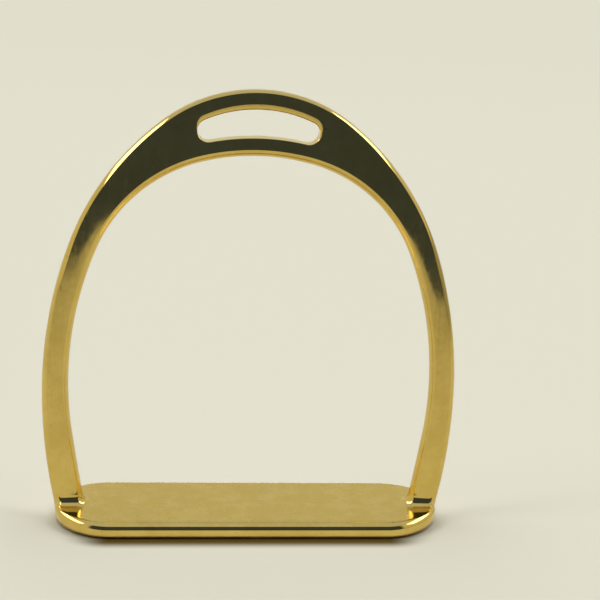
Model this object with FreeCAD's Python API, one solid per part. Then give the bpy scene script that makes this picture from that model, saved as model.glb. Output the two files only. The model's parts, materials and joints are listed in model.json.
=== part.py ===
"""Stirrup iron: a flat-faced bow, tenoned and brazed to a flat tread plate.

Frame: X across the tread, Y from front (-Y) to back, +Z up.
Origin: centre of the tread plate's underside.  All lengths in millimetres.
"""
import FreeCAD, Part
import math
import os

V = FreeCAD.Vector

# ---- driving dimensions -------------------------------------------------------------------
TREAD_LENGTH = 138.6
TREAD_DEPTH = 40.5
TREAD_THICKNESS = 5.8
TREAD_TOP_EDGE_RADIUS = 2.85
TREAD_UNDER_EDGE_RADIUS = 1.2

BOW_THICKNESS = 7.0
# Each edge of the bow runs from its crest down to the tread as arcs, each tangent to the next:
# (radius, direction of the outward normal at the arc's lower end, in degrees from the vertical).
# The last arc runs on until it reaches the foot's seat.
OUTER_CREST = 149.2
OUTER_ARCS = ((52.9, 37.3), (95.7, 70.5), (161.7, 90.0), (199.7, None))
INNER_CREST = 126.5
INNER_ARCS = ((75.2, 14.2), (53.3, 67.6), (127.5, 90.0), (125.0, 98.5), (2000.0, None))
# The sides are convex, so the flat faces are narrower than the bow by these amounts.
OUTER_CROWNING = 1.4
INNER_CROWNING_TOP = 2.5
INNER_CROWNING_FOOT = 1.0
INNER_CROWNING_CHANGE = (0.45, 0.85)     # shares of the way down between which it changes
STATIONS_PER_BRANCH = 10

SLOT_LENGTH = 41.6
SLOT_TOP = 142.4
SLOT_BOTTOM = 133.1
SLOT_TOP_RADIUS = 45.0
SLOT_BOTTOM_RADIUS = 80.0
SLOT_CORNER_RADIUS = 3.2
SLOT_EDGE_RADIUS = 0.9
SLOT_TO_CREST = 1.0              # no edge of the slot comes nearer to either crest than this
LONGEST_SLOT_EDGE = 1.2 * SLOT_LENGTH

# Each foot and its bead stand on a low raised seat, and the foot's tenon passes through the plate.
SEAT_RISE = 0.3
SEAT_MARGIN = 0.2
TENON_LENGTH = 7.0
TENON_DEPTH = 4.4
TENON_CORNER_RADIUS = 1.2
JOINT_GAP = 0.05

# The braze bead round each foot: a concave fillet on a low lip.
BEAD_RADIUS = 2.4
BEAD_LIP = 0.25
BEAD_STEPS = 4

# ---- derived sizes ------------------------------------------------------------------------
HALF_BOW = BOW_THICKNESS / 2
SEAT_Z = TREAD_THICKNESS + SEAT_RISE
BEAD_SPREAD = BEAD_LIP + BEAD_RADIUS
TOLERANCE = 0.01                 # for telling edges apart by their place


def edge_arcs(crest, arcs):
    """One edge of the bow, right half, as (centre x, centre z, radius, from, to) for each arc."""
    x = 0.0
    z = TREAD_THICKNESS + crest
    start = 0.0
    placed = []
    for radius, end_deg in arcs:
        x -= radius * math.sin(start)
        z -= radius * math.cos(start)
        if end_deg is None:
            end = math.pi - math.acos((z - SEAT_Z) / radius)
        else:
            end = math.radians(end_deg)
        placed.append((x, z, radius, start, end))
        x += radius * math.sin(end)
        z += radius * math.cos(end)
        start = end
    return placed


OUTER_EDGE = edge_arcs(OUTER_CREST, OUTER_ARCS)
INNER_EDGE = edge_arcs(INNER_CREST, INNER_ARCS)


def edge_point(edge, share):
    """The point (x, z) that lies this share of the way along an edge, crest 0 to foot 1."""
    left = share * sum(radius * (end - start) for _, _, radius, start, end in edge)
    for x, z, radius, start, end in edge:
        angle = start + left / radius
        if angle <= end:
            break
        left -= radius * (end - start)
    angle = min(angle, end)
    return x + radius * math.sin(angle), z + radius * math.cos(angle)


def inner_crowning(share):
    """How far the inner side bulges past the flat faces: full at the top, less at the foot."""
    start, end = INNER_CROWNING_CHANGE
    fade = min(max((share - start) / (end - start), 0.0), 1.0)
    fade = fade * fade * (3 - 2 * fade)
    return INNER_CROWNING_TOP + (INNER_CROWNING_FOOT - INNER_CROWNING_TOP) * fade


def bow_section(share, side):
    """Closed wire across one branch: two flat faces joined by two convex sides."""
    out_x, out_z = edge_point(OUTER_EDGE, share)
    in_x, in_z = edge_point(INNER_EDGE, share)
    outer = V(side * out_x, 0, out_z)
    inner = V(side * in_x, 0, in_z)
    across = (outer - inner).normalize()
    depth = V(0, HALF_BOW, 0)
    outer_arris = outer - across * OUTER_CROWNING
    inner_arris = inner + across * inner_crowning(share)
    return Part.Wire([
        Part.makeLine(inner_arris - depth, outer_arris - depth),
        Part.Arc(outer_arris - depth, outer, outer_arris + depth).toShape(),
        Part.makeLine(outer_arris + depth, inner_arris + depth),
        Part.Arc(inner_arris + depth, inner, inner_arris - depth).toShape(),
    ])


def slot_cutter():
    """Prism of the leather slot: a shallow arch above and below, with round corners."""
    half = SLOT_LENGTH / 2
    front = -BOW_THICKNESS

    def arch(height, radius):
        crest = TREAD_THICKNESS + height
        end = crest - radius + math.sqrt(radius * radius - half * half)
        return V(-half, front, end), V(0, front, crest), V(half, front, end)

    top = arch(SLOT_TOP, SLOT_TOP_RADIUS)
    bottom = arch(SLOT_BOTTOM, SLOT_BOTTOM_RADIUS)
    outline = Part.Wire([
        Part.Arc(*top).toShape(),
        Part.makeLine(top[2], bottom[2]),
        Part.Arc(*bottom).toShape(),
        Part.makeLine(bottom[0], top[0]),
    ])
    prism = Part.Face(outline).extrude(V(0, 2 * BOW_THICKNESS, 0))
    corners = [e for e in prism.Edges if e.BoundBox.YLength > BOW_THICKNESS]
    return prism.makeFillet(SLOT_CORNER_RADIUS, corners)


def rounded_slot(bow):
    """The bow with its leather slot cut and both rims of the slot rounded."""
    cut = bow.cut(slot_cutter())
    below = TREAD_THICKNESS + INNER_CREST + SLOT_TO_CREST
    above = TREAD_THICKNESS + OUTER_CREST - SLOT_TO_CREST
    rims = []
    for edge in cut.Edges:
        box = edge.BoundBox
        flat = box.YLength < TOLERANCE
        within = abs(box.Center.x) < SLOT_LENGTH / 2 + TOLERANCE
        if flat and within and below < box.Center.z < above and box.DiagonalLength < LONGEST_SLOT_EDGE:
            rims.append(edge)
    return cut.makeFillet(SLOT_EDGE_RADIUS, rims)


def foot_span():
    """The inner and outer x of a foot where it meets its seat."""
    return edge_point(INNER_EDGE, 1.0)[0], edge_point(OUTER_EDGE, 1.0)[0]


def tenon(side, gap=0.0):
    """One foot's tenon, or with a gap the cutter for its mortise."""
    inner, outer = foot_span()
    length = TENON_LENGTH + 2 * gap
    depth = TENON_DEPTH + 2 * gap
    middle = side * (inner + outer) / 2
    start = V(middle - length / 2, -depth / 2, 0)
    block = Part.makeBox(length, depth, SEAT_Z + 1, start)
    corners = [e for e in block.Edges if e.BoundBox.ZLength > TREAD_THICKNESS]
    return block.makeFillet(TENON_CORNER_RADIUS + gap, corners)


def make_bow():
    """Arch and branches in one piece, lofted from foot to foot, with slot and tenons."""
    shares = [i / STATIONS_PER_BRANCH for i in range(STATIONS_PER_BRANCH + 1)]
    sections = [bow_section(s, -1) for s in reversed(shares)]
    sections += [bow_section(s, 1) for s in shares[1:]]
    bow = Part.makeLoft(sections, True, False)
    bow = rounded_slot(bow)
    return bow.fuse([tenon(-1), tenon(1)]).removeSplitter()


def tread_prism(inset, height):
    """Prism of the tread's outline, drawn in by an inset, standing on z = 0."""
    radius = TREAD_DEPTH / 2 - inset
    straight = (TREAD_LENGTH - TREAD_DEPTH) / 2
    tip = straight + radius
    outline = Part.Wire([
        Part.makeLine(V(-straight, -radius, 0), V(straight, -radius, 0)),
        Part.Arc(V(straight, -radius, 0), V(tip, 0, 0), V(straight, radius, 0)).toShape(),
        Part.makeLine(V(straight, radius, 0), V(-straight, radius, 0)),
        Part.Arc(V(-straight, radius, 0), V(-tip, 0, 0), V(-straight, -radius, 0)).toShape(),
    ])
    return Part.Face(outline).extrude(V(0, 0, height))


def make_tread():
    """Tread plate with rounded rims, a raised seat for each foot and bead, and two mortises."""
    plate = tread_prism(0, TREAD_THICKNESS)
    half = TREAD_THICKNESS / 2
    under = [e for e in plate.Edges if e.BoundBox.ZMax < TOLERANCE]
    tread = plate.makeFillet(TREAD_UNDER_EDGE_RADIUS, under)
    over = [e for e in tread.Edges if e.BoundBox.ZMin > TREAD_THICKNESS - TOLERANCE]
    tread = tread.makeFillet(TREAD_TOP_EDGE_RADIUS, over)
    inner, _ = foot_span()
    for side in (-1, 1):
        corner = V(inner if side > 0 else -inner - TREAD_LENGTH, -HALF_BOW, half)
        under_foot = Part.makeBox(TREAD_LENGTH, BOW_THICKNESS, SEAT_Z - half, corner)
        outline = foot_ring(side, BEAD_SPREAD + SEAT_MARGIN, -SEAT_RISE - half)
        under_bead = Part.Face(outline).extrude(V(0, 0, SEAT_RISE + half))
        tread = tread.fuse(under_foot.common(tread_prism(0, SEAT_Z)))
        tread = tread.fuse(under_bead.common(tread_prism(TREAD_TOP_EDGE_RADIUS, SEAT_Z)))
    tread = tread.removeSplitter()
    for side in (-1, 1):
        tread = tread.cut(tenon(side, JOINT_GAP))
    return tread


def foot_ring(side, spread, height):
    """The foot's outline, spread outwards, at a height above the foot's seat."""
    inner, outer = foot_span()
    left, right = sorted((side * inner, side * outer))
    low = SEAT_Z + height
    reach = HALF_BOW + spread
    corner = max(spread, TOLERANCE)
    block = Part.makeBox(right - left + 2 * spread, 2 * reach, 1, V(left - spread, -reach, low))
    upright = [e for e in block.Edges if e.BoundBox.ZLength > 0.5]
    rounded = block.makeFillet(corner, upright)
    base = min(rounded.Faces, key=lambda face: face.CenterOfMass.z)
    return base.OuterWire


def make_bead(side, bow):
    """The braze bead round one foot, kept to the flat of the seat and clear of the foot."""
    rings = []
    for step in range(BEAD_STEPS + 1):
        angle = math.pi / 2 * step / BEAD_STEPS
        spread = BEAD_LIP + BEAD_RADIUS * (1 - math.sin(angle))
        rings.append(foot_ring(side, spread, BEAD_LIP + BEAD_RADIUS * (1 - math.cos(angle))))
    fillet = Part.makeLoft(rings, True, False)
    lip = Part.Face(foot_ring(side, BEAD_SPREAD, 0)).extrude(V(0, 0, BEAD_LIP))
    bead = fillet.fuse(lip).removeSplitter()
    flat = tread_prism(TREAD_TOP_EDGE_RADIUS, 4 * TREAD_THICKNESS)
    bead = bead.common(flat).cut(bow)
    return max(bead.Solids, key=lambda solid: solid.Volume)


def main():
    os.makedirs("parts", exist_ok=True)
    bow = make_bow()
    parts = {"bow": bow, "tread_plate": make_tread(),
             "left_braze_bead": make_bead(-1, bow), "right_braze_bead": make_bead(1, bow)}
    for name, shape in parts.items():
        print(name, shape.isValid(), len(shape.Solids), round(shape.Volume, 1))
        shape.exportStep(f"parts/{name}.step")


main()
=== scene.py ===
"""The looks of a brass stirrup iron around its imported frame: meshes, brass, floor, light and camera.

Metres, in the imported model's frame: X along the tread, +Y to the back, +Z up.
The bow, the tread plate and the two foot joints are separate meshes, one for each CAD node.
"""

import json
import math

import bmesh
import bpy
import numpy as np
from mathutils import Matrix, Vector, noise


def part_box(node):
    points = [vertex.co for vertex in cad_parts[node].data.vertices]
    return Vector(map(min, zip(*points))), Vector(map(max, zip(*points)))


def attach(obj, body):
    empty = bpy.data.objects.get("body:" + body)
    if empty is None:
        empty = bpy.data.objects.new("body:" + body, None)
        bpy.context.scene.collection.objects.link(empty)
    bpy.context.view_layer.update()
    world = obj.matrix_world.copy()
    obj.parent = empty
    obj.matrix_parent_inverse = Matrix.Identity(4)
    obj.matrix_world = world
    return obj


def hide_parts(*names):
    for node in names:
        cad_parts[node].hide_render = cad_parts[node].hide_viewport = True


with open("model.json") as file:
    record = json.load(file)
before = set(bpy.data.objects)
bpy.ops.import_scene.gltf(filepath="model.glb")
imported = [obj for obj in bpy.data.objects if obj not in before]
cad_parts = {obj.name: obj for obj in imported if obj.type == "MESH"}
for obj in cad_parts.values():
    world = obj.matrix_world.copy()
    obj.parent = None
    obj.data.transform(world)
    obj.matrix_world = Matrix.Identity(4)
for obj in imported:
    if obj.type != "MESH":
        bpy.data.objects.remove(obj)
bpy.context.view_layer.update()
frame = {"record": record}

# ---- places taken from the frame ----------------------------------------------------------
MM = 0.001
MERGE_DISTANCE = 1e-7            # vertices nearer than this become one
TINY = 1e-9                      # keeps a division from failing
MOUNTS = {mount["name"]: mount["pos_m"] for mount in frame["record"]["mounts"]}
BOW_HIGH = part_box("bow")[1]
TREAD_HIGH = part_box("tread_plate")[1]
TREAD_TOP = MOUNTS["boot_rest"][2]
SLOT_MIDDLE = MOUNTS["leather_slot"][2]
HALF_BOW = BOW_HIGH.y
TREAD_RADIUS = TREAD_HIGH.y
TREAD_SPINE = TREAD_HIGH.x - TREAD_RADIUS

# ---- bow: the arcs of its two edges, crest to foot ------------------------------------------
# (radius, direction of the outward normal at the arc's lower end, in degrees from the vertical)
OUTER_ARCS = ((52.9, 37.3), (95.7, 70.5), (161.7, 90.0), (199.7, None))
INNER_ARCS = ((75.2, 14.2), (53.3, 67.6), (127.5, 90.0), (125.0, 98.5), (2000.0, None))
CROWN_DEPTH = 22.7 * MM          # between the outer and the inner crest
CROWN_SHARE = 0.17               # half of the crown patch that holds the slot, as a share of a branch
STATIONS = 190                   # rows of the mesh along one branch
FACE_STEPS = 16                  # quads across a flat face, round an arris and round a convex side
FILLET_STEPS = 6
SIDE_STEPS = 18

# The convex sides and the arrises, as (share along the branch, size in mm).
OUTER_CROWNING = ((0.0, 0.9), (0.1, 0.95), (0.35, 1.65), (0.41, 1.7), (0.52, 2.4), (0.62, 2.3), (1.0, 2.4))
INNER_CROWNING = ((0.0, 2.5), (0.33, 2.6), (0.45, 2.9), (0.62, 2.4), (1.0, 1.3))
OUTER_ARRIS = ((0.0, 0.2), (0.5, 0.28), (0.8, 0.5), (0.92, 0.7), (1.0, 1.6))
INNER_ARRIS = ((0.0, 0.3), (0.32, 0.5), (0.43, 1.8), (0.56, 1.8), (0.66, 0.8), (1.0, 1.2))
# The faces are polished slightly round towards both arrises, not quite alike on the two branches.
OUTER_BULGE = {
    "left": ((0.0, 0.001), (0.2, 0.001), (0.65, 0.05), (1.0, 0.09)),
    "right": ((0.0, 0.001), (0.2, 0.001), (0.66, 0.004), (1.0, 0.09))}
INNER_BULGE = {
    "left": ((0.0, 0.001), (0.3, 0.004), (0.42, 0.2), (0.54, 0.22), (0.66, 0.1), (1.0, 0.14)),
    "right": ((0.0, 0.001), (0.3, 0.004), (0.42, 0.19), (0.54, 0.14), (0.66, 0.08), (1.0, 0.14))}

# ---- leather slot -----------------------------------------------------------------------
SLOT_HALF_LENGTH = 20.8 * MM
SLOT_RISE = 9.5 * MM             # between the crests of its upper and lower edge
SLOT_TOP_RADIUS = 45.0 * MM
SLOT_BOTTOM_RADIUS = 80.0 * MM
SLOT_CORNER_RADIUS = 3.7 * MM
# Rounding of the slot's rim; it is worn most where the leather bears.
SLOT_ROUNDING = {"top": 2.6 * MM, "bottom": 0.3 * MM, "left": 0.45 * MM, "right": 1.5 * MM}
SLOT_ROUND_DEPTH = 0.5           # depth of that rounding through the bow, as a share of its height
SLOT_ROUND_STEPS = 9
SLOT_WALL_STEPS = 4
SLOT_ARC_POINTS = 200            # points on each arc of the outline, before it is split evenly
CROWN_RINGS = 4

# ---- tread plate and foot joints -------------------------------------------------------------
LONG_RIM_RADIUS = 3.2 * MM       # rounding of the upper edge along the front and the back
END_RIM_RADIUS = 1.6 * MM        # and round the two ends
LONG_UNDER_RADIUS = 1.5 * MM     # rounding of the lower edge, likewise
END_UNDER_RADIUS = 2.4 * MM
SATIN_END = 61.0 * MM            # the tread's top is polished from here to the feet
SATIN_FADE = 5.0 * MM
SATIN_LEAN = 50.0                # the cast skin fades out as the rim leans this far
LONG_SIDE_POWER = 4              # how fast the roundings change from the long sides to the ends
LONG_SIDE_STEPS = 60             # along half of a long side
TIP_STEPS = 80                   # round one end
RIM_STEPS = 12
TOP_STEPS = 26
RELIEF = 0.012 * MM              # height of the cast skin's slow waves
RELIEF_LENGTH = 3.2 * MM
RELIEF_FADE = 2.0 * MM           # the waves fade out over this distance from the rim's rounding
FILLET_HEIGHTS = (3.3 * MM, 4.5 * MM)     # on the foot's outer and inner side
FILLET_SPREAD = 2.4 * MM         # width on the tread, which falls to nothing on the outer side
SPREAD_END = 0.8                 # where it reaches nothing: how far the foot's outline faces out there
SPREAD_POWER = 0.7
FILLET_ROWS = 12
COURSE_STEP = 1.0 * MM           # length over which the branch's way down is taken
BEZIER_HANDLE = 0.5523           # share of each half axis, which draws a quarter of an ellipse
RIM_REACH = 0.5 * MM             # how far below the rim's rounding the outer side of a joint runs
JOINT_PROUD = 0.05 * MM          # keeps a joint's skin outside the bow's
HIDDEN = 0.3 * MM                # how far hidden surfaces lie inside their neighbours
JOINT_SUNK = 1.2 * MM            # how far a joint's hidden underside lies below the tread's top
TENON_HALF = (3.5 * MM, 2.2 * MM)
TENON_PROUD = 0.02 * MM


# ---- mesh building ----------------------------------------------------------------------------
class Builder:
    """Collects vertices with their normals and quads, then makes a Blender mesh object."""

    def __init__(self):
        self.points = []
        self.normals = []
        self.faces = []
        self.marks = []

    def row(self, points, normals, marks=None):
        """Adds vertices and returns their indices."""
        first = len(self.points)
        self.points.extend(tuple(p) for p in points)
        self.normals.extend(tuple(n) for n in normals)
        self.marks.extend([0.0] * len(points) if marks is None else marks)
        return list(range(first, len(self.points)))

    def bridge(self, row_a, row_b, closed=True):
        """Quads between two rows of the same length."""
        count = len(row_a)
        for i in range(count if closed else count - 1):
            j = (i + 1) % count
            self.faces.append((row_a[i], row_a[j], row_b[j], row_b[i]))

    def cap(self, row):
        """Closes a row with triangles from its middle."""
        middle = np.mean([self.points[i] for i in row], axis=0)
        normal = np.mean([self.normals[i] for i in row], axis=0)
        hub = self.row([middle], [normal])[0]
        for i in range(len(row)):
            self.faces.append((row[i], row[(i + 1) % len(row)], hub))

    def build(self, name, analytic_normals=True):
        """The mesh object, with loose and double vertices removed and the faces turned outwards."""
        mesh = bpy.data.meshes.new(name)
        mesh.from_pydata(self.points, [], self.faces)
        keep = mesh.attributes.new("given_normal", "FLOAT_VECTOR", "POINT")
        keep.data.foreach_set("vector", np.array(self.normals, np.float32).ravel())
        mark = mesh.attributes.new("finish_mark", "FLOAT", "POINT")
        mark.data.foreach_set("value", np.array(self.marks, np.float32))
        work = bmesh.new()
        work.from_mesh(mesh)
        bmesh.ops.remove_doubles(work, verts=work.verts, dist=MERGE_DISTANCE)
        loose = [v for v in work.verts if not v.link_faces]
        bmesh.ops.delete(work, geom=loose, context="VERTS")
        bmesh.ops.recalc_face_normals(work, faces=work.faces)
        for face in work.faces:
            face.smooth = True
        work.to_mesh(mesh)
        work.free()
        given = np.zeros(len(mesh.vertices) * 3, np.float32)
        mesh.attributes["given_normal"].data.foreach_get("vector", given)
        mesh.attributes.remove(mesh.attributes["given_normal"])
        if analytic_normals:
            mesh.normals_split_custom_set_from_vertices(given.reshape(-1, 3).tolist())
        piece = bpy.data.objects.new(name, mesh)
        bpy.context.scene.collection.objects.link(piece)
        return piece


def unit(vectors):
    """Vectors scaled to length 1 along the last axis."""
    return vectors / np.linalg.norm(vectors, axis=-1, keepdims=True)


def graded(table, share):
    """The size in metres at a share of the branch, eased between the table's places."""
    for (start, low), (end, high) in zip(table, table[1:]):
        if share <= end:
            t = (share - start) / (end - start)
            t = t * t * (3 - 2 * t)
            return (low + (high - low) * t) * MM
    return table[-1][1] * MM


# ---- bow ----------------------------------------------------------------------------------
def placed_arcs(crest, arcs):
    """One edge's right half as (centre x, centre z, radius, from, to) for each arc."""
    x = 0.0
    z = crest
    start = 0.0
    placed = []
    for radius_mm, end_deg in arcs:
        radius = radius_mm * MM
        x -= radius * math.sin(start)
        z -= radius * math.cos(start)
        if end_deg is None:
            end = math.pi - math.acos((z - TREAD_TOP) / radius)
        else:
            end = math.radians(end_deg)
        placed.append((x, z, radius, start, end))
        x += radius * math.sin(end)
        z += radius * math.cos(end)
        start = end
    return placed


OUTER_EDGE = placed_arcs(BOW_HIGH.z, OUTER_ARCS)
INNER_EDGE = placed_arcs(BOW_HIGH.z - CROWN_DEPTH, INNER_ARCS)


def edge_length(edge):
    """The length of one edge's right half."""
    return sum(radius * (end - start) for _, _, radius, start, end in edge)


def edge_point(edge, share):
    """The point (x, z) this share of the way down an edge; a negative share is the left half."""
    left = abs(share) * edge_length(edge)
    for x, z, radius, start, end in edge:
        angle = start + left / radius
        if angle <= end:
            break
        left -= radius * (end - start)
    angle = min(angle, end)
    across = x + radius * math.sin(angle)
    return np.array([math.copysign(across, share), z + radius * math.cos(angle)])


def circle_meeting(centre_a, radius_a, centre_b, radius_b):
    """The crossing of two circles that lies farthest out, in (across, depth) coordinates."""
    apart = centre_b - centre_a
    gap = np.hypot(*apart)
    along = (radius_a**2 - radius_b**2 + gap**2) / (2 * gap)
    aside = math.sqrt(max(radius_a**2 - along**2, 0.0))
    direction = apart / gap
    square = np.array([-direction[1], direction[0]])
    found = [centre_a + direction * along + square * aside * sign for sign in (-1, 1)]
    return max(found, key=lambda point: point[0])


def half_side(width, crowning, bulge, arris):
    """Front half of one convex side, from the face to the side's crest.

    Points and normals in (across, depth), measured outwards from the middle of the face's width.
    """
    depth = HALF_BOW - bulge
    side_radius = (crowning**2 + depth**2) / (2 * crowning)
    side_centre = np.array([width - side_radius, 0.0])
    reach = width - crowning
    face_radius = (reach**2 + bulge**2) / (2 * bulge)
    face_centre = np.array([0.0, face_radius - HALF_BOW])
    centre = circle_meeting(face_centre, face_radius - arris, side_centre, side_radius - arris)
    start = np.arctan2(*(centre - face_centre)[::-1])
    turn = np.arctan2(*(centre - side_centre)[::-1])
    points = []
    normals = []
    for angle in np.linspace(start, turn, FILLET_STEPS + 1)[:-1]:
        normals.append((math.cos(angle), math.sin(angle)))
        points.append(centre + arris * np.array(normals[-1]))
    for angle in np.linspace(turn, 0.0, SIDE_STEPS // 2 + 1):
        normals.append((math.cos(angle), math.sin(angle)))
        points.append(side_centre + side_radius * np.array(normals[-1]))
    return np.array(points), np.array(normals), face_radius


def whole_side(points, normals):
    """A side from the front face round to the back face, mirrored from its front half."""
    flip = np.array([1.0, -1.0])
    return np.vstack([points, points[-2::-1] * flip]), np.vstack([normals, normals[-2::-1] * flip])


def face_line(start, end, inner_radius, outer_radius):
    """The front face's points and normals between its two arrises, both ends left out."""
    across = np.linspace(start, end, FACE_STEPS + 1)[1:-1]
    radius = np.where(across < 0, inner_radius, outer_radius)
    drop = radius - np.sqrt(radius**2 - across**2)
    points = np.column_stack([across, drop - HALF_BOW])
    normals = unit(np.column_stack([across, -np.sqrt(radius**2 - across**2)]))
    return points, normals


def bow_section(share):
    """One section of the bow: a closed loop of points and normals in space.

    The loop starts at the inner arris of the front face and runs over the front face, the outer
    side, the back face and the inner side.
    """
    outer = edge_point(OUTER_EDGE, share)
    inner = edge_point(INNER_EDGE, share)
    across = (outer - inner) / np.hypot(*(outer - inner))
    down = abs(share)
    outwards = graded(OUTER_CROWNING, down)
    inwards = graded(INNER_CROWNING, down)
    width = np.hypot(*(outer - inner))
    middle = (width - outwards + inwards) / 2
    branch = "left" if share < 0 else "right"
    out_points, out_normals, out_radius = half_side(width - middle, outwards,
                                                    graded(OUTER_BULGE[branch], down),
                                                    graded(OUTER_ARRIS, down))
    in_points, in_normals, in_radius = half_side(middle, inwards,
                                                 graded(INNER_BULGE[branch], down),
                                                 graded(INNER_ARRIS, down))
    mirror = np.array([-1.0, 1.0])
    out_points, out_normals = whole_side(out_points, out_normals)
    in_points, in_normals = whole_side(in_points * mirror, in_normals * mirror)
    face_points, face_normals = face_line(in_points[0][0], out_points[0][0],
                                          in_radius, out_radius)
    flip = np.array([1.0, -1.0])
    loop = np.vstack([in_points[:1], face_points, out_points, (face_points * flip)[::-1],
                      in_points[:0:-1]])
    facing = np.vstack([in_normals[:1], face_normals, out_normals, (face_normals * flip)[::-1],
                        in_normals[:0:-1]])
    origin = inner + across * middle
    points = np.column_stack([origin[0] + loop[:, 0] * across[0], loop[:, 1],
                              origin[1] + loop[:, 0] * across[1]])
    normals = np.column_stack([facing[:, 0] * across[0], facing[:, 1], facing[:, 0] * across[1]])
    around = np.column_stack([-facing[:, 1] * across[0], facing[:, 0], -facing[:, 1] * across[1]])
    return points, normals, around


def section_rows(shares):
    """Sections at these shares, with normals that also follow the bow's course."""
    sections = [bow_section(s) for s in shares]
    points = np.array([p for p, _, _ in sections])
    rough = np.array([n for _, n, _ in sections])
    around = np.array([a for _, _, a in sections])
    along = np.gradient(points, shares, axis=0)
    normals = unit(np.cross(around, along))
    facing = np.sum(normals * rough, axis=2, keepdims=True)
    return points, normals * np.sign(facing)


SIDE_COUNT = 2 * FILLET_STEPS + 2 * (SIDE_STEPS // 2)
OUTER_FRONT = FACE_STEPS                     # index of the front face's outer arris in a section
OUTER_BACK = OUTER_FRONT + SIDE_COUNT
INNER_BACK = OUTER_BACK + FACE_STEPS


def slot_half():
    """Right half of the slot's outline, crest to bottom, finely spaced.

    Rows of x, z and the direction (x, z) into the metal, with the lengths from the start and the
    lengths at the middles of the two corners.
    """
    top = SLOT_MIDDLE + SLOT_RISE / 2
    bottom = SLOT_MIDDLE - SLOT_RISE / 2
    top_centre = top - SLOT_TOP_RADIUS
    bottom_centre = bottom - SLOT_BOTTOM_RADIUS
    corner = SLOT_CORNER_RADIUS
    x = SLOT_HALF_LENGTH - corner
    upper = top_centre + math.sqrt((SLOT_TOP_RADIUS - corner)**2 - x**2)
    lower = bottom_centre + math.sqrt((SLOT_BOTTOM_RADIUS + corner)**2 - x**2)
    top_turn = math.atan2(x, upper - top_centre)
    bottom_turn = math.atan2(x, lower - bottom_centre)
    quarter = math.pi / 2
    arcs = ((0.0, top_centre, SLOT_TOP_RADIUS, 0.0, top_turn, 1),
            (x, upper, corner, top_turn, quarter, 1),
            (x, lower, corner, quarter, math.pi + bottom_turn, 1),
            (0.0, bottom_centre, SLOT_BOTTOM_RADIUS, bottom_turn, 0.0, -1))
    rows = []
    for cx, cz, radius, start, end, sign in arcs:
        angle = np.linspace(start, end, SLOT_ARC_POINTS)
        towards = np.column_stack([np.sin(angle), np.cos(angle)])
        rows.append(np.hstack([np.array([cx, cz]) + radius * towards, sign * towards]))
    lengths = [np.sum(np.hypot(*np.diff(r[:, :2], axis=0).T)) for r in rows]
    straight = upper - lower
    path = np.vstack(rows)
    steps = np.hypot(*np.diff(path[:, :2], axis=0).T)
    corners = (lengths[0] + lengths[1] / 2, lengths[0] + lengths[1] + straight + lengths[2] / 2)
    return path, np.concatenate([[0.0], np.cumsum(steps)]), corners


def slot_loop(long_steps, end_steps):
    """The slot's outline, from its top centre round by the right, in steps that fit the crown."""
    path, lengths, corners = slot_half()
    wanted = np.concatenate([
        np.linspace(0.0, corners[0], long_steps + 1)[:-1],
        np.linspace(corners[0], corners[1], end_steps + 1)[:-1],
        np.linspace(corners[1], lengths[-1], long_steps + 1),
    ])
    right = np.column_stack([np.interp(wanted, lengths, path[:, i]) for i in range(4)])
    right[:, 2:] = unit(right[:, 2:])
    left = right[-2:0:-1] * np.array([-1.0, 1.0, -1.0, 1.0])
    loop = np.vstack([right, left])
    return loop[:, :2], loop[:, 2:]


def slot_rounding(into_metal):
    """Radius of the slot's rim at each point of its outline."""
    aside, up = into_metal.T
    end = np.where(aside < 0, SLOT_ROUNDING["left"], SLOT_ROUNDING["right"])
    crest = np.where(up > 0, SLOT_ROUNDING["top"], SLOT_ROUNDING["bottom"])
    return end + (crest - end) * np.abs(up)


def crown_boundary(rows, first, last, side):
    """The vertices round one face of the crown, from its top centre round by the right."""
    outer, inner = (OUTER_FRONT, 0) if side < 0 else (OUTER_BACK, INNER_BACK)
    step = 1 if outer > inner else -1
    middle = (first + last) // 2
    boundary = [rows[i][outer] for i in range(middle, last)]
    boundary += [rows[last][j] for j in range(outer, inner, -step)]
    boundary += [rows[i][inner] for i in range(last, first, -1)]
    boundary += [rows[first][j] for j in range(inner, outer, step)]
    boundary += [rows[i][outer] for i in range(first, middle)]
    return boundary


def crown_face(build, boundary, side, outline, into_metal):
    """One face of the crown, from its boundary in to the slot's rim, and that rim's rounding.

    Returns the vertices where the rounding meets the slot's wall.
    """
    rounding = slot_rounding(into_metal)[:, None]
    edge = np.array([build.points[i] for i in boundary])
    flat = outline + into_metal * rounding
    rim = np.column_stack([flat[:, 0], np.full(len(flat), side * HALF_BOW), flat[:, 1]])
    normals = np.tile([0.0, float(side), 0.0], (len(rim), 1))
    ring = boundary
    for k in range(1, CROWN_RINGS + 1):
        points = edge + (rim - edge) * (k / CROWN_RINGS)
        points[:, 1] = side * HALF_BOW
        next_ring = build.row(points, normals, [1.0] * len(points))
        build.bridge(ring, next_ring)
        ring = next_ring
    for k in range(1, SLOT_ROUND_STEPS + 1):
        angle = math.pi / 2 * k / SLOT_ROUND_STEPS
        flat = outline + into_metal * rounding * (1 - math.sin(angle))
        depth = side * (HALF_BOW - SLOT_ROUND_DEPTH * rounding * (1 - math.cos(angle)))
        points = np.column_stack([flat[:, 0], depth, flat[:, 1]])
        inwards = -into_metal * math.sin(angle) * SLOT_ROUND_DEPTH
        ahead = np.full(len(points), side * math.cos(angle))
        normals = unit(np.column_stack([inwards[:, 0], ahead, inwards[:, 1]]))
        next_ring = build.row(points, normals)
        build.bridge(ring, next_ring)
        ring = next_ring
    return ring


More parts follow.
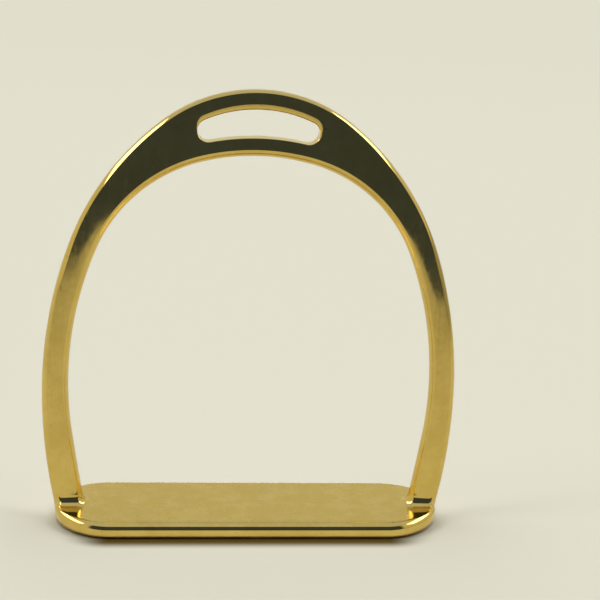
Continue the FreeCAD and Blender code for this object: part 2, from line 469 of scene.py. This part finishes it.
def crown_patch(build, rows, first, last):
    """The crown's two faces round the slot and the slot's wall, joined to the section rows."""
    outline, into_metal = slot_loop((last - first) // 2, FACE_STEPS)
    ring, back_ring = (crown_face(build, crown_boundary(rows, first, last, side), side,
                                  outline, into_metal) for side in (-1, 1))
    front = np.array([build.points[i] for i in ring])
    back = np.array([build.points[i] for i in back_ring])
    normals = np.column_stack([-into_metal[:, 0], np.zeros(len(front)), -into_metal[:, 1]])
    for k in range(1, SLOT_WALL_STEPS):
        next_ring = build.row(front + (back - front) * k / SLOT_WALL_STEPS, normals)
        build.bridge(ring, next_ring)
        ring = next_ring
    build.bridge(ring, back_ring)


def tenon_outline(points):
    """Each point moved to the outline of the foot's tenon."""
    middle = (points.max(axis=0) + points.min(axis=0)) / 2
    out = points - middle
    scale = np.minimum(TENON_HALF[0] / np.maximum(np.abs(out[:, 0]), TINY),
                       TENON_HALF[1] / np.maximum(np.abs(out[:, 1]), TINY))
    return middle + out * scale[:, None]


def foot_end(build, row, points):
    """Closes a foot: a short way into the tread, then the tenon down to the underside."""
    downwards = np.tile([0.0, 0.0, -1.0], (len(points), 1))
    inward = unit((points.mean(axis=0) - points) * np.array([1.0, 1.0, 0.0]))
    buried = points + inward * HIDDEN - np.array([0.0, 0.0, HIDDEN])
    ring = build.row(buried, downwards)
    build.bridge(row, ring)
    for height in (TREAD_TOP - HIDDEN, -TENON_PROUD):
        outline = tenon_outline(points)
        outline[:, 2] = height
        next_ring = build.row(outline, downwards)
        build.bridge(ring, next_ring)
        ring = next_ring
    build.cap(ring)


def make_bow():
    """The bow: two branches, the crown with its slot, and the two tenons."""
    build = Builder()
    shares = np.linspace(-1.0, 1.0, 2 * STATIONS + 1)
    points, normals = section_rows(shares)
    rows = []
    for p, n in zip(points, normals):
        marks = np.zeros(len(p))
        marks[:OUTER_FRONT + 1] = 1.0
        marks[OUTER_BACK:INNER_BACK + 1] = 1.0
        rows.append(build.row(p, n, list(marks)))
    reach = round(CROWN_SHARE * STATIONS)
    first = STATIONS - reach
    last = STATIONS + reach
    for i in range(len(rows) - 1):
        a, b = rows[i], rows[i + 1]
        if first <= i < last:
            build.bridge(a[OUTER_FRONT:OUTER_BACK + 1], b[OUTER_FRONT:OUTER_BACK + 1], False)
            build.bridge(a[INNER_BACK:] + a[:1], b[INNER_BACK:] + b[:1], False)
        else:
            build.bridge(a, b)
    crown_patch(build, rows, first, last)
    foot_end(build, rows[0], points[0])
    foot_end(build, rows[-1], points[-1])
    return build.build("bow_skin")


# ---- tread plate ------------------------------------------------------------------------------
def tread_outline():
    """Round the tread: the point on the spine and the outward direction for each column."""
    spine = []
    outward = []
    for i in range(2 * LONG_SIDE_STEPS):
        spine.append((-TREAD_SPINE + TREAD_SPINE * i / LONG_SIDE_STEPS, 0.0))
        outward.append((0.0, -1.0))
    for i in range(TIP_STEPS):
        angle = -math.pi / 2 + math.pi * i / TIP_STEPS
        spine.append((TREAD_SPINE, 0.0))
        outward.append((math.cos(angle), math.sin(angle)))
    mirrored = [((-x, y), (-u, -v)) for (x, y), (u, v) in zip(spine, outward)]
    spine += [s for s, _ in mirrored]
    outward += [o for _, o in mirrored]
    return np.array(spine), np.array(outward)


def towards_long_side(outwards_y):
    """1 where the tread's outline faces the front or the back, and 0 at its two tips."""
    return np.abs(outwards_y)**LONG_SIDE_POWER


def rim_radius(outwards_y):
    """Rounding of the tread's upper edge where its outline faces this way."""
    return END_RIM_RADIUS + (LONG_RIM_RADIUS - END_RIM_RADIUS) * towards_long_side(outwards_y)


def under_radius(outwards_y):
    """Rounding of the tread's lower edge where its outline faces this way."""
    return END_UNDER_RADIUS + (LONG_UNDER_RADIUS - END_UNDER_RADIUS) * towards_long_side(outwards_y)


def tread_profile(upper, lower):
    """From the spine over the top, round the rim and back below: (reach, height, satin).

    Takes the two roundings of each column, and gives reach and height as arrays over the columns.
    """
    flat = TREAD_RADIUS - upper
    level = np.full(len(upper), TREAD_TOP)
    profile = [(flat * i / TOP_STEPS, level, 1.0) for i in range(TOP_STEPS)]
    for i in range(RIM_STEPS + 1):
        angle = math.pi / 2 * i / RIM_STEPS
        profile.append((flat + upper * math.sin(angle), level - upper * (1 - math.cos(angle)),
                        max(0.0, 1.0 - math.degrees(angle) / SATIN_LEAN)))
    for i in range(RIM_STEPS + 1):
        angle = math.pi / 2 * i / RIM_STEPS
        profile.append((TREAD_RADIUS - lower * (1 - math.cos(angle)),
                        lower * (1 - math.sin(angle)), 0.0))
    under = TREAD_RADIUS - lower
    profile += [(under * i / TOP_STEPS, 0 * level, 0.0) for i in range(TOP_STEPS - 2, -1, -2)]
    return profile


def make_tread():
    """The tread plate, with the slow waves of a cast skin on its top."""
    build = Builder()
    spine, outward = tread_outline()
    rows = []
    facing = outward[:, 1]
    for reach, height, satin in tread_profile(rim_radius(facing), under_radius(facing)):
        plan = spine + outward * reach[:, None]
        points = np.column_stack([plan, height])
        if satin == 1.0:
            calm = np.clip((TREAD_RADIUS - LONG_RIM_RADIUS - reach) / RELIEF_FADE, 0.0, 1.0)
            waves = [noise.noise(Vector((x, y, 0.0)) / RELIEF_LENGTH) for x, y in plan]
            points[:, 2] += RELIEF * calm * waves
        polish = np.clip((SATIN_END - np.abs(plan[:, 0])) / SATIN_FADE, 0.0, 1.0)
        rows.append(build.row(points, np.zeros_like(points), list(satin * polish)))
    for a, b in zip(rows, rows[1:]):
        build.bridge(a, b)
    return build.build("tread_plate_skin", analytic_normals=False)


# ---- foot joints ------------------------------------------------------------------------------
def on_tread(plan, side):
    """Drops a plan point near the tread's end onto its surface: point, normal and way outwards."""
    hub = np.array([side * TREAD_SPINE, 0.0])
    out = plan - hub
    reach = np.hypot(*out)
    radial = np.array([out[0] / reach, out[1] / reach, 0.0])
    up = np.array([0.0, 0.0, 1.0])
    radius = rim_radius(radial[1])
    flat = TREAD_RADIUS - radius
    if reach <= flat:
        return np.array([plan[0], plan[1], TREAD_TOP]), up, None
    lean = math.asin(min((reach - flat) / radius, 1.0))
    point = np.array([*hub, 0.0]) + radial * min(reach, TREAD_RADIUS)
    point[2] = TREAD_TOP - radius * (1 - math.cos(lean))
    normal = radial * math.sin(lean) + up * math.cos(lean)
    outwards = radial * math.cos(lean) - up * math.sin(lean)
    if reach >= TREAD_RADIUS:
        point[2] -= RIM_REACH
    return point, normal, outwards


def bezier(a, b, c, d, t):
    """A point on a cubic Bezier curve."""
    return a * (1 - t)**3 + 3 * b * t * (1 - t)**2 + 3 * c * t * t * (1 - t) + d * t**3


def joint_base(points, normals, side):
    """For each point of the foot's outline: where the joint meets the tread, and how."""
    base = []
    for point, normal in zip(points, normals):
        plan_normal = unit(normal[:2])
        outness = max(0.0, plan_normal[0] * side)
        spread = FILLET_SPREAD * (1 - min(1.0, outness / SPREAD_END))**SPREAD_POWER
        base.append((*on_tread(point[:2] + plan_normal * spread, side), plan_normal))
    return base


def joint_top(side):
    """Where a joint ends on its branch, with the foot below it.

    For each point of the section: the joint's upper end, its normal and the branch's way down
    there, then the foot's point and normal.
    """
    heights = (FILLET_HEIGHTS[1] + COURSE_STEP, FILLET_HEIGHTS[1], FILLET_HEIGHTS[0], 0.0)
    shares = np.array([1.0 - height / edge_length(OUTER_EDGE) for height in heights])
    order = np.argsort(shares * side)
    points, normals = section_rows((shares * side)[order])
    above, high, low, foot = points[np.argsort(order)]
    _, high_normals, low_normals, foot_normals = normals[np.argsort(order)]
    span = np.abs(foot[:, 0])
    inner = ((span.max() - span) / (span.max() - span.min()))[:, None]
    top = low + (high - low) * inner
    top_normals = unit(low_normals + (high_normals - low_normals) * inner)
    return top, top_normals, unit(high - above), foot, foot_normals


def make_joint(name, side):
    """The filled joint round one foot, from the tread's surface up to the branch's skin."""
    build = Builder()
    top, top_normals, down, foot, foot_normals = joint_top(side)
    base = joint_base(foot, foot_normals, side)
    columns = []
    for i in range(len(foot)):
        end, _, outwards, plan_normal = base[i]
        if outwards is None:
            outwards = np.array([plan_normal[0], plan_normal[1], 0.0])
        drop = BEZIER_HANDLE * np.dot(end - top[i], down[i])
        reach = BEZIER_HANDLE * abs(np.dot(end - top[i], outwards))
        ends = (top[i], top[i] + down[i] * drop, end - outwards * reach, end)
        lift = JOINT_PROUD * np.array([*plan_normal, 0.0])
        columns.append([bezier(*ends, t) + lift * math.sin(math.pi * t)
                        for t in np.linspace(0.0, 1.0, FILLET_ROWS + 1)])
    grid = np.array(columns).transpose(1, 0, 2)
    around = np.roll(grid, -1, axis=1) - np.roll(grid, 1, axis=1)
    facing = unit(np.cross(around, np.gradient(grid, axis=0)))
    turned = np.sum(facing[1] * top_normals, axis=1).mean()
    facing = facing * (1.0 if turned > 0 else -1.0)
    facing[0] = top_normals
    facing[-1] = np.array([normal for _, normal, _, _ in base])
    rows = [build.row(g, f) for g, f in zip(grid, facing)]
    middle = foot.mean(axis=0)
    inward = unit((middle - foot) * np.array([1.0, 1.0, 0.0]))
    sunk = build.row(foot + inward * HIDDEN - np.array([0.0, 0.0, JOINT_SUNK]), -foot_normals)
    lining = build.row(top + inward * HIDDEN, -top_normals)
    for a, b in zip(rows, rows[1:] + [sunk]):
        build.bridge(a, b)
    build.bridge(sunk, lining)
    build.bridge(lining, rows[0])
    return build.build(name)


# ---- materials ----------------------------------------------------------------------------------
class Nodes:
    """Short calls for building one node tree."""

    def __init__(self, tree):
        self.tree = tree
        tree.nodes.clear()

    def add(self, kind, **settings):
        """A node with its properties and its inputs, by name or number, set or linked."""
        node = self.tree.nodes.new(kind)
        inputs = settings.pop("inputs", {})
        for key, value in settings.items():
            setattr(node, key, value)
        for key, value in inputs.items():
            socket = node.inputs[key]
            if isinstance(value, bpy.types.NodeSocket):
                self.tree.links.new(value, socket)
            else:
                socket.default_value = value
        return node

    def math(self, operation, *values):
        """The result of a math node."""
        return self.add("ShaderNodeMath", operation=operation,
                        inputs=dict(enumerate(values))).outputs[0]

    def ramp(self, value, low, high, to_low=0.0, to_high=1.0, smooth=True):
        """A value mapped from one range to another, held at the ends."""
        kind = "SMOOTHSTEP" if smooth else "LINEAR"
        return self.add("ShaderNodeMapRange", interpolation_type=kind,
                        inputs={0: value, 1: low, 2: high, 3: to_low, 4: to_high}).outputs[0]

    def mix(self, share, a, b):
        """A mix of two colours."""
        return self.add("ShaderNodeMix", data_type="RGBA",
                        inputs={0: share, 6: a, 7: b}).outputs[2]

    def noise(self, place, scale, detail=2.0, roughness=0.5, stretch=(1.0, 1.0, 1.0)):
        """Noise of this scale per millimetre, stretched along the axes."""
        per_metre = tuple(scale * s / MM for s in stretch)
        spot = self.add("ShaderNodeVectorMath", operation="MULTIPLY",
                        inputs={0: place, 1: per_metre}).outputs[0]
        return self.add("ShaderNodeTexNoise", inputs={
            "Vector": spot, "Scale": 1.0, "Detail": detail, "Roughness": roughness}).outputs[0]

    def bump(self, height):
        """The normal bumped by a height in millimetres."""
        return self.add("ShaderNodeBump", inputs={
            "Height": height, "Distance": MM, "Strength": 1.0}).outputs[0]


BRASS = (0.75, 0.555, 0.16, 1.0)
BRASS_DEEP = (0.68, 0.49, 0.13, 1.0)
BRASS_DUSTY = (0.67, 0.49, 0.105, 1.0)
TARNISH = (0.30, 0.13, 0.035, 1.0)
TARNISH_SHARE = 0.6              # how much of its colour specks and pits take
SPECK_LEVELS = (0.71, 0.77)      # the noise's levels between which a speck begins
PIT_LEVELS = (0.70, 0.78)
# Noise scales per millimetre, bump heights in millimetres, and roughness.
CAST_SCALES = {"grain": 0.9, "peel": 0.28, "blotch": 0.16, "pits": 0.55}
CAST_HEIGHTS = {"grain": 0.020, "peel": 0.030, "pits": 0.030}
CAST_ROUGHNESS = (0.15, 0.33)    # added to the polished roughness
POLISHED_ROUGHNESS = 0.07
GROUND_SCALES = {"streak": 3.0, "cross": 2.0, "smudge": 0.08, "scratch": 1.0}
GROUND_HEIGHTS = {"streak": 0.0022, "cross": 0.0008, "scratch": 0.0020}
GROUND_HAZE = {"streak": 0.07, "smudge": 0.06, "scratch": 0.12}    # added roughness
GROUND_ROUGHNESS = (0.05, 0.09)
STREAK_SHARE = 0.35              # how much of the deeper colour the grinding lines take


def cast_skin(n, spot, mark, colour):
    """Satin cast skin where the mark is 1: colour, roughness and normal."""
    grain = n.noise(spot, CAST_SCALES["grain"], 5.0, 0.65)
    peel = n.noise(spot, CAST_SCALES["peel"], 2.0)
    blotch = n.noise(spot, CAST_SCALES["blotch"], 4.0, 0.6)
    pits = n.ramp(n.noise(spot, CAST_SCALES["pits"], 2.0, 0.6), *PIT_LEVELS)
    dusty = n.mix(n.math("MULTIPLY", n.ramp(blotch, 0.35, 0.65), mark), colour, BRASS_DUSTY)
    pitted = n.math("MULTIPLY", n.math("MULTIPLY", pits, mark), TARNISH_SHARE)
    colour = n.mix(pitted, dusty, TARNISH)
    rough = n.math("MULTIPLY_ADD", mark, n.ramp(grain, 0.3, 0.7, *CAST_ROUGHNESS),
                   POLISHED_ROUGHNESS)
    height = n.math("ADD", n.math("MULTIPLY", grain, CAST_HEIGHTS["grain"]),
                    n.math("MULTIPLY", peel, CAST_HEIGHTS["peel"]))
    height = n.math("SUBTRACT", height, n.math("MULTIPLY", pits, CAST_HEIGHTS["pits"]))
    return colour, rough, n.bump(n.math("MULTIPLY", height, mark))


def ground_face(n, spot, mark, colour):
    """Polish, with grinding lines up the flat faces where the mark is 1, and stray scratches."""
    streak = n.noise(spot, GROUND_SCALES["streak"], 3.0, 0.7, stretch=(1.0, 1.0, 0.02))
    cross = n.noise(spot, GROUND_SCALES["cross"], 2.0, 0.6, stretch=(0.08, 1.0, 1.0))
    smudge = n.ramp(n.noise(spot, GROUND_SCALES["smudge"], 5.0, 0.65), 0.46, 0.72)
    scratch = n.ramp(n.noise(spot, GROUND_SCALES["scratch"], 1.0, stretch=(1.4, 1.0, 0.12)),
                     0.72, 0.76)
    colour = n.mix(n.math("MULTIPLY", n.ramp(streak, 0.35, 0.7), STREAK_SHARE), colour, BRASS_DEEP)
    haze = n.math("ADD", n.ramp(streak, 0.3, 0.75, 0.0, GROUND_HAZE["streak"]),
                  n.math("MULTIPLY", smudge, GROUND_HAZE["smudge"]))
    haze = n.math("MULTIPLY_ADD", scratch, GROUND_HAZE["scratch"], haze)
    base = n.ramp(n.noise(spot, 0.7, 4.0, 0.6), 0.3, 0.7, *GROUND_ROUGHNESS)
    rough = n.math("MULTIPLY_ADD", mark, haze, base)
    lines = n.math("ADD", n.math("MULTIPLY", streak, GROUND_HEIGHTS["streak"]),
                   n.math("MULTIPLY", cross, GROUND_HEIGHTS["cross"]))
    lines = n.math("SUBTRACT", lines, n.math("MULTIPLY", scratch, GROUND_HEIGHTS["scratch"]))
    return colour, rough, n.bump(n.math("MULTIPLY", lines, mark))


def brass(name, finish):
    """Brass with tarnish specks and one of the two finishes, where the mesh's mark asks for it."""
    material = bpy.data.materials.new(name)
    material.use_nodes = True
    n = Nodes(material.node_tree)
    spot = n.add("ShaderNodeTexCoord").outputs["Object"]
    mark = n.add("ShaderNodeAttribute", attribute_name="finish_mark").outputs["Fac"]
    cloud = n.noise(spot, 0.12, 5.0, 0.7)
    colour = n.mix(n.ramp(cloud, 0.35, 0.65), BRASS, BRASS_DEEP)
    speck = n.ramp(n.noise(spot, 1.0, 2.0), *SPECK_LEVELS)
    colour = n.mix(n.math("MULTIPLY", speck, TARNISH_SHARE), colour, TARNISH)
    colour, rough, normal = finish(n, spot, mark, colour)
    shader = n.add("ShaderNodeBsdfPrincipled", inputs={
        "Base Color": colour, "Metallic": 1.0, "Roughness": rough, "Normal": normal})
    n.add("ShaderNodeOutputMaterial", inputs={"Surface": shader.outputs[0]})
    return material


# ---- the object -----------------------------------------------------------------------------
def place(piece, material, slot, node):
    """Gives a piece its material, hangs it under the root body and hides the CAD node it stands for."""
    piece.data.materials.append(material)
    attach(piece, "root")
    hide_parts(node)


place(make_bow(), brass("polished_brass", ground_face), "polished_brass", "bow")
place(make_tread(), brass("cast_skin_brass", cast_skin), "cast_skin_brass", "tread_plate")
joint_brass = brass("joint_brass", ground_face)
place(make_joint("left_foot_joint", -1), joint_brass, "braze", "left_braze_bead")
place(make_joint("right_foot_joint", 1), joint_brass, "braze", "right_braze_bead")

# ---- floor, light and camera ---------------------------------------------------------------------
BACKDROP = (0.753, 0.730, 0.604)
FLOOR_SIZE = 40.0
FLOOR_FADE = (1.0, 3.0)          # distances over which the floor turns into the backdrop
FLOOR_ALBEDO = 0.5
PAPER_LIFT = 1.03                # the paper near the iron is this much lighter than the backdrop
# A painted shadow in front of the tread: what it leaves of the floor's red, green and blue, and its reach.
CONTACT_SHADE = (0.16, 0.11, 0.03)
CONTACT_REACH = (8.5 * MM, 2.3 * MM)
CONTACT_FACING = 9.0             # power by which it fades where the outline turns away from -Y
# Share of the mirrored floor that takes no shadow, and its distances from the iron.
MIRROR_GLOW = 0.75
GLOW_REACH = (0.3 * MM, 3.0 * MM)
# The floor's light: from all round in these warm shares of the backdrop's red, green and blue,
# from two lamps, and the rest from a broad arc above and behind.
ROOM_SHARES = (0.06, 0.04, 0.005)
ARC_ELEVATIONS = (44.0, 80.0)
ARC_HALF_WIDTH = 112.0
# Mirrors see the floor end at this line, y = start + slope * x, with a dim room beyond it.
TABLE_EDGE = -0.377
TABLE_EDGE_SLOPE = 0.341
TABLE_GAP_FADE = (-0.03, 0.05)   # it ends only inside the dark area, which begins over these metres
MIRRORED_FLOOR = ((-0.33, -0.03), (0.68, 0.96))      # brightness of the floor along y, in mirrors
DIM_SIDE = ((0.25, 0.75), (1.0, 0.55))               # towards +X the room is dimmer near the floor
DIM_SIDE_HEIGHTS = (0.02, 0.14)                      # heights of a direction where that dimness ends
ROOM_LIGHT = (0.715, 0.68, 0.48)
ROOM_TOP = (0.62, 0.66, 0.78)
ROOM_HEIGHTS = (0.1, 0.9)        # heights of a direction between which the one turns into the other
DARK_ROOM = (0.050, 0.068, 0.115)
DARK_HALF_ANGLE = 40.0           # the dark area lies behind the camera, this far to either side
DARK_TOP = 45.0                  # and up to this elevation
DARK_FADE = (-0.08, 0.12)        # its sides darken over this range of a direction
EDGE_BLUR = 0.04                 # half the width of a soft edge, as a height of a direction
ARC_END_BLUR = 0.2               # and in radians, at the two ends of the arc
# Each lamp that casts a shadow: degrees from +Y towards +X, degrees up, share of the floor's light.
LAMPS = {"left": (-100.0, 38.0, 0.05), "right": (96.0, 38.0, 0.05)}
LAMP_SPREAD = math.radians(20.0)
LAMP_DISTANCE = 1.0              # of no effect on their light, since they are suns
# The soft boxes that only the brass sees.
SOFTBOX_AIMS = ((-81.0, 40.0), (81.0, 42.0))
SOFTBOX_DISTANCE = 0.85
SOFTBOX_WIDTH = 1.0
SOFTBOX_HEIGHT = 0.27
SOFTBOX_RADIANCE = 3.4

# The camera's place in metres, its turns in degrees, and its lens in millimetres.
CAMERA_SPOT = Vector((-0.02894, -0.4617, 0.2002))
CAMERA_PITCH = 14.32
CAMERA_YAW = 5.61
CAMERA_ROLL = 2.3
CAMERA_LENS = 81.66
SENSOR = 36.0
CLIP_START = 0.01


def towards(azimuth, elevation):
    """The direction at these degrees from +Y towards +X, and up."""
    across = math.radians(azimuth)
    up = math.radians(elevation)
    return Vector((math.sin(across) * math.cos(up), math.cos(across) * math.cos(up), math.sin(up)))


def distance_from_tread(n, parts):
    """How far a point of the floor lies outside the tread's outline, and how much it is in front."""
    past_spine = n.math("MAXIMUM", n.math("SUBTRACT", n.math("ABSOLUTE", parts[0]), TREAD_SPINE), 0.0)
    from_spine = n.math("SQRT", n.math("ADD", n.math("MULTIPLY", past_spine, past_spine),
                                       n.math("MULTIPLY", parts[1], parts[1])))
    ahead = n.math("MAXIMUM", n.math("MULTIPLY", parts[1], -1.0), 0.0)
    return n.math("SUBTRACT", from_spine, TREAD_RADIUS), n.math("DIVIDE", ahead, from_spine)


def mirrored_floor(n, parts, mirrored):
    """How bright the floor is in mirrors, and where they see past its edge instead."""
    edge = n.math("MULTIPLY_ADD", parts[0], TABLE_EDGE_SLOPE, TABLE_EDGE)
    beyond = n.math("LESS_THAN", parts[1], edge)
    cone = n.math("MULTIPLY", parts[1], -math.tan(math.radians(DARK_HALF_ANGLE)))
    within = n.ramp(n.math("SUBTRACT", cone, n.math("ABSOLUTE", parts[0])), *TABLE_GAP_FADE)
    dim = n.ramp(parts[1], *MIRRORED_FLOOR[0], *MIRRORED_FLOOR[1], smooth=False)
    dim = n.math("MULTIPLY", dim, n.ramp(parts[0], *DIM_SIDE[0], *DIM_SIDE[1]))
    return dim, n.math("MULTIPLY", mirrored, n.math("MULTIPLY", beyond, within))


def floor_paper():
    """The floor's material: paper near the iron with a painted shadow in front of the tread, the
    backdrop's own colour far from it.
    """
    material = bpy.data.materials.new("floor")
    material.use_nodes = True
    n = Nodes(material.node_tree)
    spot = n.add("ShaderNodeTexCoord").outputs["Object"]
    parts = n.add("ShaderNodeSeparateXYZ", inputs={0: spot}).outputs
    mirrored = n.add("ShaderNodeLightPath").outputs["Is Glossy Ray"]
    dim, hidden = mirrored_floor(n, parts, mirrored)
    from_tread, in_front = distance_from_tread(n, parts)
    # Painted shadow: the paper's colour darkens in front of the tread's long edge and fades with distance.
    painted_contact_shade = n.math("MULTIPLY", n.ramp(from_tread, *CONTACT_REACH),
                     n.math("POWER", in_front, CONTACT_FACING))
    albedo = FLOOR_ALBEDO * PAPER_LIFT
    lit = n.mix(painted_contact_shade, (albedo, albedo, albedo, 1.0),
                (*(albedo * left for left in CONTACT_SHADE), 1.0))
    shade = n.math("MULTIPLY", dim, FLOOR_ALBEDO)
    shaded = n.add("ShaderNodeCombineColor", inputs={0: shade, 1: shade, 2: shade}).outputs[0]
    paper = n.add("ShaderNodeBsdfDiffuse", inputs={"Color": n.mix(mirrored, lit, shaded)})
    strength = n.math("MULTIPLY_ADD", mirrored, n.math("SUBTRACT", dim, 1.0), 1.0)
    backdrop = n.add("ShaderNodeEmission", inputs={"Color": (*BACKDROP, 1.0), "Strength": strength})
    distance = n.add("ShaderNodeVectorMath", operation="LENGTH", inputs={0: spot}).outputs["Value"]
    glow = n.math("MULTIPLY", n.math("MULTIPLY", mirrored, MIRROR_GLOW),
                  n.ramp(from_tread, *GLOW_REACH))
    glow = n.math("MAXIMUM", n.ramp(distance, *FLOOR_FADE), glow)
    surface = n.add("ShaderNodeMixShader",
                    inputs={0: glow, 1: paper.outputs[0], 2: backdrop.outputs[0]})
    clear = n.add("ShaderNodeBsdfTransparent")
    whole = n.add("ShaderNodeMixShader",
                  inputs={0: hidden, 1: surface.outputs[0], 2: clear.outputs[0]})
    n.add("ShaderNodeOutputMaterial", inputs={"Surface": whole.outputs[0]})
    return material


def make_floor():
    """A pale floor that melts into the backdrop, and that mirrors see only as far as its edge."""
    mesh = bpy.data.meshes.new("floor")
    half = FLOOR_SIZE / 2
    corners = [(-half, -half, 0), (half, -half, 0), (half, half, 0), (-half, half, 0)]
    mesh.from_pydata(corners, [], [(0, 1, 2, 3)])
    floor = bpy.data.objects.new("floor", mesh)
    floor.location.z = -TENON_PROUD
    bpy.context.scene.collection.objects.link(floor)
    mesh.materials.append(floor_paper())


def mirrored_room(n, parts, aside):
    """The room that the brass sees: pale, dim low down towards +X, and dark behind the camera."""
    light = n.mix(n.ramp(parts[2], *ROOM_HEIGHTS), (*ROOM_LIGHT, 1.0), (*ROOM_TOP, 1.0))
    side = n.ramp(parts[0], *DIM_SIDE[0], *DIM_SIDE[1])
    side = n.math("MAXIMUM", side, n.ramp(parts[2], *DIM_SIDE_HEIGHTS))
    light = n.mix(side, (0.0, 0.0, 0.0, 1.0), light)
    front = n.math("MULTIPLY", parts[1], -math.tan(math.radians(DARK_HALF_ANGLE)))
    within = n.ramp(n.math("SUBTRACT", front, aside), *DARK_FADE)
    top = math.sin(math.radians(DARK_TOP))
    under = n.ramp(parts[2], top + EDGE_BLUR, top - EDGE_BLUR)
    return n.mix(n.math("MULTIPLY", within, under), light, (*DARK_ROOM, 1.0))


def floor_light(n, parts, aside):
    """The light that falls on the floor: even from all round, and strong from the arc."""
    low, high = (math.sin(math.radians(angle)) for angle in ARC_ELEVATIONS)
    wide = math.radians(ARC_HALF_WIDTH)
    arc = n.math("MULTIPLY", n.ramp(parts[2], low - EDGE_BLUR, low + EDGE_BLUR),
                 n.ramp(parts[2], high + EDGE_BLUR, high - EDGE_BLUR))
    bearing = n.math("ARCTAN2", aside, parts[1])
    arc = n.math("MULTIPLY", arc, n.ramp(bearing, wide + ARC_END_BLUR, wide - ARC_END_BLUR))
    lamps = sum(share for _, _, share in LAMPS.values())
    even = [tone * share / FLOOR_ALBEDO for tone, share in zip(BACKDROP, ROOM_SHARES)]
    lit = wide * (high**2 - low**2)
    strong = [tone * (1 - lamps - share) * math.pi / lit / FLOOR_ALBEDO
              for tone, share in zip(BACKDROP, ROOM_SHARES)]
    above = n.add("ShaderNodeVectorMath", operation="SCALE", inputs={0: strong, "Scale": arc})
    return n.add("ShaderNodeVectorMath", operation="ADD",
                 inputs={0: above.outputs[0], 1: even}).outputs[0]


def make_world():
    """A plain backdrop to the camera, a broad soft light to the floor, and a room to the brass."""
    world = bpy.data.worlds.new("room")
    bpy.context.scene.world = world
    world.use_nodes = True
    world.cycles.sampling_method = "NONE"
    n = Nodes(world.node_tree)
    way = n.add("ShaderNodeTexCoord").outputs["Generated"]
    parts = n.add("ShaderNodeSeparateXYZ", inputs={0: way}).outputs
    path = n.add("ShaderNodeLightPath").outputs
    aside = n.math("ABSOLUTE", parts[0])
    room = n.mix(path["Is Camera Ray"], mirrored_room(n, parts, aside), (*BACKDROP, 1.0))
    colour = n.mix(path["Is Diffuse Ray"], room, floor_light(n, parts, aside))
    shine = n.add("ShaderNodeBackground", inputs={0: colour, 1: 1.0})
    n.add("ShaderNodeOutputWorld", inputs={0: shine.outputs[0]})


def hang(lamp, way, distance):
    """A lamp shining at the iron from this direction; the camera doesn't see it."""
    holder = bpy.data.objects.new(lamp.name, lamp)
    holder.location = Vector((0.0, 0.0, TREAD_TOP)) + way * distance
    holder.rotation_mode = "QUATERNION"
    holder.rotation_quaternion = way.to_track_quat("Z", "Y")
    holder.visible_camera = False
    bpy.context.scene.collection.objects.link(holder)
    return holder


def make_lights():
    """Far lamps that shade the floor, and a soft box left and right that the brass mirrors."""
    for name, (azimuth, elevation, share) in LAMPS.items():
        lamp = bpy.data.lights.new(name, "SUN")
        lamp.angle = LAMP_SPREAD
        lamp.color = BACKDROP
        lamp.energy = share / FLOOR_ALBEDO * math.pi / math.sin(math.radians(elevation))
        hang(lamp, towards(azimuth, elevation), LAMP_DISTANCE).visible_glossy = False
    for azimuth, elevation in SOFTBOX_AIMS:
        lamp = bpy.data.lights.new("softbox", "AREA")
        lamp.shape = "RECTANGLE"
        lamp.size = SOFTBOX_WIDTH
        lamp.size_y = SOFTBOX_HEIGHT
        lamp.energy = SOFTBOX_RADIANCE * math.pi * SOFTBOX_WIDTH * SOFTBOX_HEIGHT
        hang(lamp, towards(azimuth, elevation), SOFTBOX_DISTANCE).visible_diffuse = False


def make_camera():
    """The camera, level axes first, then turned about its own line of sight."""
    pitch = math.radians(CAMERA_PITCH)
    yaw = math.radians(CAMERA_YAW)
    roll = math.radians(CAMERA_ROLL)
    ahead = Vector((math.sin(yaw) * math.cos(pitch), math.cos(yaw) * math.cos(pitch),
                    -math.sin(pitch)))
    level_right = ahead.cross(Vector((0.0, 0.0, 1.0))).normalized()
    level_up = level_right.cross(ahead)
    right = level_right * math.cos(roll) + level_up * math.sin(roll)
    up = level_up * math.cos(roll) - level_right * math.sin(roll)
    data = bpy.data.cameras.new("camera")
    data.lens = CAMERA_LENS
    data.sensor_width = SENSOR
    data.clip_start = CLIP_START
    camera = bpy.data.objects.new("camera", data)
    axes = Matrix((right, up, -ahead)).transposed()
    camera.matrix_world = Matrix.Translation(CAMERA_SPOT) @ axes.to_4x4()
    bpy.context.scene.collection.objects.link(camera)
    bpy.context.scene.camera = camera


make_floor()
make_world()
make_lights()
make_camera()
bpy.context.scene.view_settings.view_transform = "Standard"
